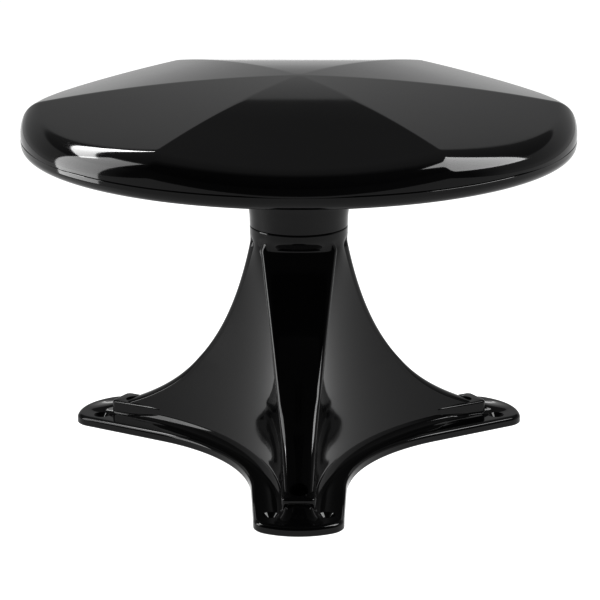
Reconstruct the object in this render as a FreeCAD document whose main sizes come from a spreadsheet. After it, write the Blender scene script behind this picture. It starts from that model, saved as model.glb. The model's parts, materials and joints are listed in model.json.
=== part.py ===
import FreeCAD, Part
import math
import os
import re

import Sketcher
from FreeCAD import Placement, Rotation, Vector

# Rotating roof antenna: a faceted round dome that turns on a hollow three-legged mount.
# +Z is up and the origin is the centre of the mount's footprint on the roof. One leg points
# towards -Y and the other two towards +X+Y and -X+Y. Millimetres throughout.

SIZES = {
    # dome
    "dome_radius": 160.0,
    "dome_top": 226.4,
    "vault_radius": 700.0,
    "vault_offset": 20.0,
    "wall": 2.5,
    "parting_height": 192.3,
    "shoulder_height": 209.5,
    "shoulder_slope": 0.364,
    "shoulder_round": 22.0,
    "rim_round": 5.0,
    "lip_rise": 0.9,
    "lip_inner_rise": 3.2,
    "pan_thick": 2.6,
    "pan_outer_radius": 155.4,
    "pan_outer_height": 184.6,
    "pan_inner_height": 164.6,
    # hub under the dome
    "hub_radius": 28.6,
    "hub_top_radius": 29.4,
    "hub_bottom": 138.3,
    "hub_floor": 146.1,
    "hub_floor_thick": 8.0,
    "hub_flare": 18.0,
    "hub_wall": 3.0,
    "hub_clearance": 0.3,
    # dome fasteners
    "cover_screw_circle": 140.0,
    "cover_boss": 4.5,
    "cover_boss_height": 19.9,
    "cover_boss_drop": 2.0,
    "pan_boss_height": 7.0,
    "pan_boss_drop": 9.1,
    "recess_radius": 3.6,
    "recess_height": 4.6,
    "recess_drop": 11.1,
    "stand_radius": 4.5,
    "stand_rise": 6.5,
    "pilot_depth": 9.0,
    "cover_pilot": 1.4,
    "cover_clearance": 1.8,
    "cover_screw_head": 3.2,
    "cover_screw_head_height": 2.4,
    "cover_screw_length": 14.0,
    "cover_screw_drop": 6.5,
    # seal and breather
    "seal_gap": 0.3,
    "seal_width": 2.0,
    "seal_height": 3.4,
    "vent_circle": 100.0,
    "vent_hole": 4.0,
    "vent_stem": 3.95,
    "vent_cap": 6.5,
    "vent_bore": 1.5,
    "vent_rise": 9.0,
    "vent_stem_height": 7.0,
    "vent_cap_height": 2.0,
    # mount
    "neck_radius": 28.6,
    "neck_top": 137.7,
    "mount_wall": 3.0,
    "fin_product": 9540.0,
    "fin_lift": 49.4,
    "fin_shift": 31.8,
    "fin_half_base": 6.2,
    "fin_draft": 0.126,
    "fin_edge": 4.5,
    "waist_gain": 13.4,
    "blend_start": 118.0,
    "inner_reach": 96.0,
    # flange plan of one leg: u runs out along the leg, w across it
    "flange_thick": 5.5,
    "flange_round": 2.4,
    "end_centre": 112.3,
    "end_radius": 38.2,
    "corner_radius": 12.0,
    "bay_centre_along": 83.6,
    "bay_centre_across": 144.7,
    "bay_radius": 117.5,
    "side_taper": 2.2,
    # nose and screw holes of one leg
    "nose_start": 86.0,
    "nose_end": 127.0,
    "nose_half": 9.7,
    "nose_top": 13.6,
    "nose_round": 3.0,
    "nose_hole_at": 116.0,
    "screw_hole": 2.6,
    "counterbore": 5.2,
    "counterbore_floor": 7.5,
    "pad_hole_along": 130.0,
    "pad_hole_across": 15.5,
    "countersink": 4.6,
    # gasket
    "gasket_outset": 3.0,
    "gasket_width": 4.0,
    "gasket_thick": 1.5,
    # turning joint
    "spindle_radius": 11.95,
    "spindle_bore": 9.0,
    "spindle_bottom": 8.0,
    "drive_bore": 9.6,
    "drive_depth": 12.0,
    "spindle_flange": 24.0,
    "spindle_flange_thick": 4.0,
    "bush_bore": 12.0,
    "bush_radius": 14.0,
    "bush_length": 18.0,
    "bush_flange": 18.5,
    "bush_flange_thick": 2.0,
    "tube_radius": 17.5,
    "tube_bottom": 30.0,
    "tube_top": 141.0,
    "washer_thick": 1.5,
    "washer_gap": 0.1,
    "clip_groove": 10.9,
    "stop_circle": 22.0,
    "stop_pin": 2.0,
    "stop_pin_top": 145.4,
    "stop_lug": 3.0,
    "stop_lug_length": 4.6,
    "stop_lug_height": 6.7,
    "stop_pin_depth": 9.0,
    "pin_boss": 4.0,
    "pin_boss_height": 8.0,
    "pin_boss_drop": 12.0,
    "seal_ring_width": 2.2,
    "seal_ring_height": 2.4,
    "rib_thick": 2.4,
    "rib_length": 75.0,
    "rib_height": 100.0,
    "clip_bottom": 25.0,
    "clip_thick": 1.2,
    "clip_width": 3.0,
    "flange_screw_circle": 18.0,
    "flange_hole": 2.1,
    "flange_pilot_depth": 6.5,
    "flange_screw_head": 3.4,
    "flange_screw_length": 10.0,
    "drive_screw": 2.0,
    "drive_screw_rise": 8.0,
    "drive_screw_length": 2.3,
    "drive_screw_head": 3.4,
    "drive_screw_head_height": 3.0,
    # inside the dome
    "carrier_height": 186.0,
    "carrier_thick": 2.5,
    "carrier_radius": 124.0,
    "carrier_screw_circle": 62.0,
    "carrier_window": 20.0,
    "carrier_bay": 16.0,
    "carrier_bay_circle": 92.0,
    "carrier_screw_head": 3.2,
    "carrier_screw_head_height": 2.0,
    "carrier_screw_length": 10.5,
    "post_radius": 4.0,
    "deck": 191.5,
    "element_thick": 1.0,
    "reflector_length": 170.0,
    "reflector_width": 16.0,
    "reflector_at": -86.0,
    "director_length": 130.0,
    "director_width": 12.0,
    "director_at": 74.0,
    "driven_at": -30.0,
    "wing_start": 12.0,
    "wing_end": 104.0,
    "wing_start_half": 6.0,
    "wing_end_half": 26.0,
    "wing_window_at": 64.0,
    "wing_window_length": 30.0,
    "wing_window_width": 14.0,
    "element_screw_head": 3.0,
    "element_screw_head_height": 1.8,
    "small_screw_length": 6.0,
    "board_thick": 1.6,
    "board_length": 58.0,
    "board_width": 42.0,
    "board_at": 44.0,
    "can_length": 30.0,
    "can_width": 22.0,
    "can_height": 6.0,
    "can_at": 51.0,
    "can_wall": 0.5,
    "board_screw_head": 2.6,
    "board_screw_head_height": 1.6,
    "socket_length": 8.0,
    "socket_width": 7.0,
    "socket_height": 7.0,
    "socket_at": 28.5,
    # lead and jack
    "plug_length": 4.0,
    "plug_wall": 0.6,
    "plug_at": 25.0,
    "jack_rise": 26.0,
    "jack_disc_thick": 3.0,
    "jack_barrel": 4.7,
    "jack_barrel_length": 17.0,
    "jack_barrel_drop": 12.0,
    "jack_pin_bore": 1.0,
    "jack_pin_depth": 8.0,
    "nut_thick": 2.5,
    "nut_gap": 2.0,
    "lead_rise": 31.0,
    "lead_radius": 2.5,
    "lead_turn": 16.0,
    "lead_height": 196.8,
}

LEG_ANGLES = (270.0, 30.0, 150.0)
SIXTHS = tuple(60.0 * step for step in range(6))
CORNERS = tuple(45.0 + 90.0 * step for step in range(4))

# most that a leg's half thickness may be of the waist, and the least radius of a leg's edge
FIN_SHARE = 0.78
FIN_EDGE_LEAST = 1.0
# where the marks of a leg's outline lie on the round neck, in degrees from the leg
NECK_TURNS = (0.0, 33.0, 39.0, 45.0)
# how much longer a cutting tool is than the piece it goes through
CLEAR = 20.0
EDGE_TOLERANCE = 0.3

DOC = FreeCAD.newDocument("roof_antenna")
NODES = []


def fill_sheet():
    """Write every driving size into the spreadsheet with its alias."""
    sheet = DOC.addObject("Spreadsheet::Sheet", "Sizes")
    for row, (alias, value) in enumerate(SIZES.items(), start=1):
        sheet.set("A%d" % row, alias)
        sheet.set("B%d" % row, str(value))
        sheet.setAlias("B%d" % row, alias)
    DOC.recompute()
    return sheet


SHEET = fill_sheet()


def size(alias):
    return float(SHEET.get(alias))


def bound(text):
    """Turn a formula of aliases into one that reads the sheet."""
    def prefix(word):
        return "Sizes." + word.group(0) if word.group(0) in SIZES else word.group(0)
    return re.sub(r"[a-z_]+", prefix, str(text))


def place(solid, at, turn=None):
    for axis, text in zip("xyz", at):
        solid.setExpression("Placement.Base." + axis, bound(text))
    if turn:
        solid.Placement.Rotation = Rotation(*turn)
    return solid


def cylinder(name, radius, height, at=("0", "0", "0"), turn=None):
    solid = DOC.addObject("Part::Cylinder", name)
    solid.setExpression("Radius", bound(radius))
    solid.setExpression("Height", bound(height))
    return place(solid, at, turn)


def cone(name, radius_low, radius_high, height, at=("0", "0", "0")):
    solid = DOC.addObject("Part::Cone", name)
    solid.setExpression("Radius1", bound(radius_low))
    solid.setExpression("Radius2", bound(radius_high))
    solid.setExpression("Height", bound(height))
    return place(solid, at)


def box(name, length, width, height, at=("0", "0", "0"), turn=None):
    solid = DOC.addObject("Part::Box", name)
    solid.setExpression("Length", bound(length))
    solid.setExpression("Width", bound(width))
    solid.setExpression("Height", bound(height))
    return place(solid, at, turn)


def centred_box(name, length, width, height, at):
    """A box whose position is the centre of its lower face."""
    corner = ("%s - (%s) / 2" % (at[0], length), "%s - (%s) / 2" % (at[1], width), at[2])
    return box(name, length, width, height, corner)


def cut(name, base, tool, refine=True):
    result = DOC.addObject("Part::Cut", name)
    result.Base = base
    result.Tool = tool
    result.Refine = refine
    return result


def fuse(name, solids):
    result = DOC.addObject("Part::MultiFuse", name)
    result.Shapes = solids
    return result


def common(name, base, tool):
    result = DOC.addObject("Part::Common", name)
    result.Base = base
    result.Tool = tool
    return result


def group(name, solids):
    result = DOC.addObject("Part::Compound", name)
    result.Links = solids
    return result


def turned(name, solid, angle):
    """A copy of a solid, turned about the object's axis."""
    copy = DOC.addObject("Part::Compound", name)
    copy.Links = [solid]
    copy.Placement = Placement(Vector(), Rotation(Vector(0, 0, 1), angle))
    return copy


def around(name, solid, angles):
    return [turned("%s_%d" % (name, index), solid, angle) for index, angle in enumerate(angles)]


def ring(name, outer, inner, height, at=("0", "0", "0")):
    body = cylinder(name + "_disc", outer, height, at)
    hole = cylinder(name + "_hole", inner, height, at)
    return cut(name, body, hole)


def rounded(name, base, radius, chooses):
    """Round the edges of a solid that the given test chooses."""
    DOC.recompute()
    result = DOC.addObject("Part::Fillet", name)
    result.Base = base
    edges = [index for index, edge in enumerate(base.Shape.Edges, start=1) if chooses(edge)]
    result.Edges = [(index, radius, radius) for index in edges]
    return result


def revolved(name, corners):
    """A body turned from a closed profile of (radius, height) corners, all bound to the sheet."""
    DOC.recompute()
    body = DOC.addObject("PartDesign::Body", name)
    planes = {plane.Role: plane for plane in body.Origin.OriginFeatures}
    sketch = body.newObject("Sketcher::SketchObject", name + "_profile")
    sketch.AttachmentSupport = (planes["XZ_Plane"], "")
    sketch.MapMode = "FlatFace"
    points = [Vector(value_of(radius), value_of(height), 0) for radius, height in corners]
    count = len(points)
    for index, point in enumerate(points):
        sketch.addGeometry(Part.LineSegment(point, points[(index + 1) % count]), False)
    for index in range(count):
        sketch.addConstraint(Sketcher.Constraint("Coincident", index, 2, (index + 1) % count, 1))
    for index, (radius, height) in enumerate(corners):
        for kind, text, value in (("DistanceX", radius, points[index].x),
                                  ("DistanceY", height, points[index].y)):
            number = sketch.addConstraint(Sketcher.Constraint(kind, -1, 1, index, 1, value))
            sketch.setExpression("Constraints[%d]" % number, bound(text))
    turn = body.newObject("PartDesign::Revolution", name + "_turn")
    turn.Profile = sketch
    turn.ReferenceAxis = (sketch, ["V_Axis"])
    turn.Angle = 360.0
    sketch.Visibility = False
    return body


def value_of(text):
    """The number that a formula of aliases gives."""
    return float(FreeCAD.Units.Quantity(str(SHEET.evalExpression(bound(text)))).Value)


def keep(solid, label):
    """Name a finished sub-part."""
    solid.Label = label
    NODES.append(solid)
    return solid


def custom(name, shape):
    feature = DOC.addObject("Part::Feature", name)
    feature.Shape = shape
    feature.Placement = Placement()
    return feature


# ---------------------------------------------------------------- fasteners

def screw(name, at, head, head_height, shank, length, upward=False):
    """A pan-head screw: its head stands on `at` and its shank runs down, or up if it is upside down."""
    x, y, z = at
    if upward:
        cap = cylinder(name + "_head", head, head_height, (x, y, "%s - %s" % (z, head_height)))
        stem = cylinder(name + "_shank", shank, length, at)
        socket_at = (x, y, "%s - %s" % (z, head_height))
    else:
        cap = cylinder(name + "_head", head, head_height, at)
        stem = cylinder(name + "_shank", shank, length, (x, y, "%s - %s" % (z, length)))
        socket_at = (x, y, "%s + %s / 2" % (z, head_height))
    solid = fuse(name + "_solid", [cap, stem])
    socket = cylinder(name + "_socket", "%s / 2" % head, "%s / 2" % head_height, socket_at)
    return cut(name, solid, socket)


# ---------------------------------------------------------------- dome

def circle_at(radius, height):
    """A test for a round edge of about this radius at about this height."""
    def chooses(edge):
        curve = edge.Curve
        if not isinstance(curve, Part.Circle):
            return False
        near = abs(curve.Radius - radius) < EDGE_TOLERANCE
        return near and abs(curve.Center.z - height) < EDGE_TOLERANCE
    return chooses


def vault(name, inset, base_height):
    """A round wall with a rolled shoulder under six shallow cylindrical facets, all inset."""
    radius = "(dome_radius - %s)" % inset
    shoulder = "(shoulder_height - %s)" % inset
    peak = shoulder + " + dome_radius * shoulder_slope"
    body = revolved(name + "_body", [("0", base_height), (radius, base_height), (radius, shoulder),
                                     ("0", peak)])
    wall = rounded(name + "_round", body, size("shoulder_round") - value_of(inset),
                   circle_at(value_of(radius), value_of(shoulder)))
    drop = "sqrt(vault_radius * vault_radius - vault_offset * vault_offset)"
    solid = wall
    for index, angle in enumerate(30.0 + step for step in SIXTHS):
        roller = cylinder("%s_facet_%d" % (name, index), "(vault_radius - %s)" % inset,
                          "4 * dome_radius", ("0", "0", "dome_top - %s" % drop))
        out = Vector(math.cos(math.radians(angle)), math.sin(math.radians(angle)), 0)
        side = Vector(-out.y, out.x, 0)
        roller.Placement.Rotation = Rotation(Vector(0, 0, 1), side)
        shift = "-vault_offset * %.6f - 2 * dome_radius * %.6f"
        roller.setExpression("Placement.Base.x", bound(shift % (out.x, side.x)))
        roller.setExpression("Placement.Base.y", bound(shift % (out.y, side.y)))
        solid = common("%s_under_facet_%d" % (name, index), solid, roller)
    return solid


def upper_cover():
    """The visible dome shell, with six screw bosses inside its rim."""
    shell = cut("dome_shell", vault("dome_outside", "0", "parting_height"),
                vault("dome_inside", "wall", "parting_height - 1"), refine=False)
    boss = cylinder("dome_boss", "cover_boss", "cover_boss_height",
                    ("cover_screw_circle", "0", "parting_height - cover_boss_drop"))
    bosses = around("dome_boss_at", boss, SIXTHS)
    pilot = cylinder("dome_pilot", "cover_pilot", "cover_screw_length - cover_boss_drop",
                     ("cover_screw_circle", "0", "parting_height - hub_wall"))
    pilots = group("dome_pilots", around("dome_pilot_at", pilot, SIXTHS))
    solid = fuse("dome_with_bosses", [shell] + bosses)
    keep(cut("upper_cover_part", solid, pilots, refine=False), "upper_cover")


def lower_cover():
    """The pan under the dome with the hub that turns on the mount's neck."""
    slope = "(pan_outer_height - pan_inner_height) / (pan_outer_radius - hub_top_radius)"
    body = revolved("pan_body", [
        ("hub_radius", "hub_bottom"),
        ("hub_top_radius", "pan_inner_height"),
        ("pan_outer_radius", "pan_outer_height"),
        ("dome_radius", "pan_outer_height + lip_rise"),
        ("dome_radius", "parting_height"),
        ("dome_radius - wall", "parting_height"),
        ("dome_radius - wall", "pan_outer_height + lip_inner_rise"),
        ("hub_top_radius - pan_thick", "pan_inner_height + pan_thick - pan_thick * %s" % slope),
        ("hub_radius - hub_wall", "hub_floor + hub_floor_thick"),
        ("bush_bore + hub_clearance", "hub_floor + hub_floor_thick"),
        ("bush_bore + hub_clearance", "hub_floor"),
        ("hub_radius - hub_wall", "hub_floor"),
        ("hub_radius - hub_wall", "hub_bottom"),
    ])
    flare = rounded("pan_flare", body, size("hub_flare"),
                    circle_at(size("hub_top_radius"), size("pan_inner_height")))
    rim = rounded("pan_rim", flare, size("rim_round"),
                  circle_at(size("dome_radius"), size("pan_outer_height") + size("lip_rise")))
    boss = cylinder("pan_boss", "cover_boss", "pan_boss_height",
                    ("cover_screw_circle", "0", "parting_height - pan_boss_drop"))
    bosses = around("pan_boss_at", boss, SIXTHS)
    stand = cylinder("carrier_stand", "stand_radius",
                     "carrier_height - pan_inner_height - stand_rise",
                     ("carrier_screw_circle", "0", "pan_inner_height + stand_rise"))
    stands = around("carrier_stand_at", stand, CORNERS)
    lug = box("stop_lug_block", "stop_lug_length", "stop_lug", "stop_lug_height",
              ("stop_lug / 2", "-stop_circle - pan_thick", "hub_floor + 0.1 - stop_lug_height"),
              (Vector(0, 0, 1), 90))
    solid = fuse("pan_solid", [rim, lug] + bosses + stands)
    hole = cylinder("pan_hole", "cover_clearance", CLEAR,
                    ("cover_screw_circle", "0", "parting_height - %s" % CLEAR))
    recess = cylinder("pan_recess", "recess_radius", "recess_height",
                      ("cover_screw_circle", "0", "parting_height - recess_drop"))
    pilot = cylinder("stand_pilot", "cover_pilot", "pilot_depth",
                     ("carrier_screw_circle", "0", "carrier_height - pilot_depth"))
    vent = cylinder("vent_opening", "vent_hole", CLEAR, ("vent_circle", "0", "pan_inner_height"))
    flange_pilot = cylinder("flange_pilot", "cover_pilot", "flange_pilot_depth",
                            ("flange_screw_circle", "0",
                             "hub_floor + hub_floor_thick - flange_pilot_depth"))
    holes = around("pan_hole_at", hole, SIXTHS)
    holes += around("pan_recess_at", recess, SIXTHS)
    holes += around("stand_pilot_at", pilot, CORNERS)
    holes += around("flange_pilot_at", flange_pilot, CORNERS)
    holes.append(turned("vent_opening_turned", vent, 90.0))
    keep(cut("lower_cover_part", solid, group("pan_holes", holes)), "lower_cover")


def dome_fittings():
    """The rim seal, the six cover screws and the breather."""
    keep(ring("rim_seal_part", "dome_radius - wall - seal_gap",
              "dome_radius - wall - seal_gap - seal_width", "seal_height",
              ("0", "0", "parting_height - seal_height / 2")), "rim_seal")
    one = screw("cover_screw", ("cover_screw_circle", "0", "parting_height - cover_screw_drop"),
                "cover_screw_head", "cover_screw_head_height", "cover_pilot", "cover_screw_length",
                upward=True)
    keep(group("cover_screws_part", around("cover_screw_at", one, SIXTHS)), "cover_screws")
    foot = "pan_inner_height + vent_rise"
    stem = cylinder("vent_tube", "vent_stem", "vent_stem_height", ("0", "vent_circle", foot))
    cap = cylinder("vent_disc", "vent_cap", "vent_cap_height",
                   ("0", "vent_circle", foot + " + vent_stem_height"))
    bore = cylinder("vent_passage", "vent_bore", CLEAR,
                    ("0", "vent_circle", foot + " + vent_stem_height + vent_cap_height / 2 - %s" % CLEAR))
    keep(cut("breather_part", fuse("vent_solid", [stem, cap]), bore), "breather_vent")


# ---------------------------------------------------------------- mount

def fin_reach(height):
    """How far a leg's crest stands from the axis at a height: a hyperbola that flattens outwards."""
    return size("fin_product") / (height + size("fin_lift")) - size("fin_shift")


def arc(start, middle, end):
    """An arc through three points, or a straight edge where they are in line."""
    bend = (middle - start).cross(end - middle).Length
    if bend < 1e-4:
        return Part.LineSegment(start, end).toShape()
    return Part.Arc(start, middle, end).toShape()


def turned_point(radial, across, angle, height):
    cosine = math.cos(math.radians(angle))
    sine = math.sin(math.radians(angle))
    return Vector(radial * cosine - across * sine, radial * sine + across * cosine, height)


def star_section(height, inset, reach_limit=1000.0):
    """The closed three-armed outline of the mount at a height, moved inwards by the inset."""
    reach = min(fin_reach(height), reach_limit) - inset
    half = size("fin_half_base") + size("fin_draft") * height - inset
    edge = max(size("fin_edge") - inset, FIN_EDGE_LEAST)
    rise = 1.0 - height / size("neck_top")
    waist = size("neck_radius") + size("waist_gain") * rise * rise - inset
    start = size("blend_start")
    blend = min(max((height - start) / (size("neck_top") - start), 0.0), 1.0)
    blend = blend * blend * (3.0 - 2.0 * blend)
    half = min(half, waist * FIN_SHARE)
    across = half - edge
    corner = edge * math.sqrt(0.5)
    # outline of half a leg in (u, w): crest middle, crest end, corner middle, side start, bay middle
    marks = [(reach, 0.0), (reach, across), (reach - edge + corner, across + corner),
             (reach - edge, half)]
    bay = (waist * 0.5, waist * math.sqrt(0.75))
    radius = size("neck_radius") - inset
    rounded_marks = [(radius * math.cos(math.radians(turn)), radius * math.sin(math.radians(turn)))
                     for turn in NECK_TURNS]
    mixed = [(a[0] + (b[0] - a[0]) * blend, a[1] + (b[1] - a[1]) * blend)
             for a, b in zip(marks, rounded_marks)]
    edges = []
    for angle in sorted(LEG_ANGLES):
        crest, crest_end, corner_mid, side = mixed
        low = turned_point(crest_end[0], -crest_end[1], angle, height)
        high = turned_point(crest_end[0], crest_end[1], angle, height)
        edges.append(arc(low, turned_point(crest[0], 0.0, angle, height), high))
        side_point = turned_point(side[0], side[1], angle, height)
        edges.append(arc(high, turned_point(corner_mid[0], corner_mid[1], angle, height), side_point))
        next_side = turned_point(side[0], -side[1], angle + 120.0, height)
        edges.append(arc(side_point, turned_point(bay[0], bay[1], angle, height), next_side))
        next_low = turned_point(crest_end[0], -crest_end[1], angle + 120.0, height)
        edges.append(arc(next_side, turned_point(corner_mid[0], -corner_mid[1], angle + 120.0, height),
                         next_low))
    return Part.Wire(edges)


def star_solid(inset, heights, reach_limit=1000.0):
    sections = [star_section(height, inset, reach_limit) for height in heights]
    return Part.makeLoft(sections, True, False)


def flange_outline(inset, height):
    """The closed outline of the flange, moved inwards by the inset."""
    along = size("bay_centre_along")
    across = size("bay_centre_across")
    bay = size("bay_radius") + inset
    taper = math.radians(size("side_taper"))
    end_centre = size("end_centre")
    end = size("end_radius") - inset
    corner = size("corner_radius") - inset
    normal = Vector(math.sin(taper), math.cos(taper), 0)
    line_start = Vector(along, across, 0) - normal * bay
    # the corner's centre lies a corner radius inside the side and inside the end arc
    reach = size("end_radius") - size("corner_radius")
    offset = Vector(along, across, 0).dot(normal) - size("bay_radius") - size("corner_radius")
    foot = offset - end_centre * normal.x
    along_side = Vector(normal.y, -normal.x, 0)
    centre = Vector(end_centre, 0, 0) + normal * foot + along_side * math.sqrt(reach ** 2 - foot ** 2)
    line_end = centre + normal * corner
    out = (centre - Vector(end_centre, 0, 0)).normalize()
    end_start = centre + out * corner
    corner_mid = centre + (normal + out).normalize() * corner
    tip = Vector(end_centre + end, 0, 0)
    bay_mid = math.hypot(along, across) - bay
    edges = []
    for angle in sorted(LEG_ANGLES):
        def at(point, side, leg=angle):
            return turned_point(point.x, point.y * side, leg, height)
        edges.append(arc(at(end_start, -1), at(tip, 1), at(end_start, 1)))
        edges.append(arc(at(end_start, 1), at(corner_mid, 1), at(line_end, 1)))
        edges.append(Part.LineSegment(at(line_end, 1), at(line_start, 1)).toShape())
        next_leg = angle + 120.0
        edges.append(arc(at(line_start, 1), turned_point(bay_mid, 0.0, angle + 60.0, height),
                         at(line_start, -1, next_leg)))
        edges.append(Part.LineSegment(at(line_start, -1, next_leg), at(line_end, -1, next_leg)).toShape())
        edges.append(arc(at(line_end, -1, next_leg), at(corner_mid, -1, next_leg),
                         at(end_start, -1, next_leg)))
    return Part.Wire(edges)


def flange_plate(name, inset, height, thick):
    """A flat plate with the flange's outline, its thickness bound to the sheet."""
    outline = custom(name + "_outline", flange_outline(inset, height))
    plate = DOC.addObject("Part::Extrusion", name)
    plate.Base = outline
    plate.DirMode = "Custom"
    plate.Dir = Vector(0, 0, 1)
    plate.Solid = True
    plate.setExpression("LengthFwd", bound(thick))
    return plate


OUTER_HEIGHTS = (3.0, 12.0, 22.0, 36.0, 54.0, 76.0, 96.0, 112.0, 118.0, 124.0, 130.0, 137.7)
INNER_HEIGHTS = (-1.0, 12.0, 22.0, 36.0, 54.0, 76.0, 96.0, 112.0, 118.0, 124.0, 129.0, 133.2)


def pedestal():
    """The hollow three-legged moulding with its flange, noses, bearing tube and ribs."""
    outside = custom("fins_outside", star_solid(0.0, OUTER_HEIGHTS))
    hollow = custom("fins_hollow", star_solid(size("mount_wall"), INNER_HEIGHTS, size("inner_reach")))
    plate = flange_plate("flange_blank", 0.0, 0.0, "flange_thick")
    thick = size("flange_thick")
    flange = rounded("flange_rounded", plate, size("flange_round"),
                     lambda edge: all(abs(v.Z - thick) < 1e-3 for v in edge.Vertexes))
    blank = centred_box("nose_blank", "nose_end - nose_start", "2 * nose_half", "nose_top",
                        ("(nose_end + nose_start) / 2", "0", "0"))
    end = size("nose_end")
    nose = rounded("nose_rounded", blank, size("nose_round"),
                   lambda edge: all(abs(v.X - end) < 1e-3 for v in edge.Vertexes)
                   and abs(edge.Vertexes[0].Z - edge.Vertexes[-1].Z) > 1.0)
    noses = around("nose_at", nose, LEG_ANGLES)
    shell = cut("mount_shell", fuse("mount_outside", [outside, flange] + noses), hollow)
    tube = cylinder("bearing_tube", "tube_radius", "tube_top - tube_bottom", ("0", "0", "tube_bottom"))
    rib = box("rib", "rib_length", "rib_thick", "rib_height",
              ("tube_radius - rib_thick", "-rib_thick / 2", "tube_bottom"))
    ribs = common("mount_ribs", group("rib_ring", around("rib_at", rib, LEG_ANGLES)), hollow)
    pin_boss = cylinder("pin_boss_block", "pin_boss", "pin_boss_height",
                        ("0", "stop_circle", "neck_top - pin_boss_drop"))
    solid = fuse("mount_solid", [shell, tube, ribs, pin_boss])
    tube_bore = cylinder("tube_bore", "bush_radius", "tube_top", ("0", "0", "tube_bottom - 1"))
    pin_hole = cylinder("pin_hole", "stop_pin", "stop_pin_depth",
                        ("0", "stop_circle", "neck_top - stop_pin_depth"))
    holes = [tube_bore, pin_hole]
    through = cylinder("nose_hole", "screw_hole", CLEAR, ("nose_hole_at", "0", "-1"))
    sink = cylinder("nose_sink", "counterbore", CLEAR, ("nose_hole_at", "0", "counterbore_floor"))
    holes += around("nose_hole_at_leg", through, LEG_ANGLES)
    holes += around("nose_sink_at_leg", sink, LEG_ANGLES)
    for side, word in ((1, "left"), (-1, "right")):
        at = ("pad_hole_along", "%d * pad_hole_across" % side)
        pad = cylinder("pad_hole_" + word, "screw_hole", CLEAR, at + ("-1",))
        flare = cone("pad_sink_" + word, "screw_hole", "countersink", "countersink - screw_hole",
                     at + ("flange_thick - countersink + screw_hole",))
        holes += around("pad_hole_at_leg_" + word, pad, LEG_ANGLES)
        holes += around("pad_sink_at_leg_" + word, flare, LEG_ANGLES)
    groove = cut("gasket_groove",
                 flange_plate("groove_outer", size("gasket_outset"), 0.0, "gasket_thick"),
                 flange_plate("groove_inner", size("gasket_outset") + size("gasket_width"), 0.0,
                              "gasket_thick"))
    keep(cut("pedestal_part", solid, group("mount_holes", holes + [groove])), "pedestal")


def roof_gasket():
    outer = flange_plate("gasket_outer", size("gasket_outset"), 0.0, "gasket_thick")
    inner = flange_plate("gasket_inner", size("gasket_outset") + size("gasket_width"), 0.0,
                         "gasket_thick")
    keep(cut("roof_gasket_part", outer, inner), "roof_gasket")


def bearings():
    """Both bushes, the washers that carry the dome, the stop pin and the neck seal."""
    tube = ring("upper_bush_tube", "bush_radius", "bush_bore", "bush_length + bush_flange_thick",
                ("0", "0", "tube_top - bush_length"))
    lip = ring("upper_bush_lip", "bush_flange", "bush_bore", "bush_flange_thick", ("0", "0", "tube_top"))
    keep(fuse("upper_bush_part", [tube, lip]), "upper_bush")
    tube = ring("lower_bush_tube", "bush_radius", "bush_bore", "bush_length + bush_flange_thick",
                ("0", "0", "tube_bottom - bush_flange_thick"))
    lip = ring("lower_bush_lip", "tube_radius", "bush_bore", "bush_flange_thick",
               ("0", "0", "tube_bottom - bush_flange_thick"))
    keep(fuse("lower_bush_part", [tube, lip]), "lower_bush")
    keep(ring("thrust_washer_part", "bush_flange", "bush_bore", "washer_thick",
              ("0", "0", "tube_top + bush_flange_thick")), "thrust_washer")
    keep(cylinder("stop_pin_part", "stop_pin", "stop_pin_top - neck_top + stop_pin_depth",
                  ("0", "stop_circle", "neck_top - stop_pin_depth")), "stop_pin")
    keep(ring("neck_seal_part", "tube_radius + seal_ring_width", "tube_radius", "seal_ring_height",
              ("0", "0", "neck_top")), "neck_seal")


# ---------------------------------------------------------------- spindle

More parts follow.
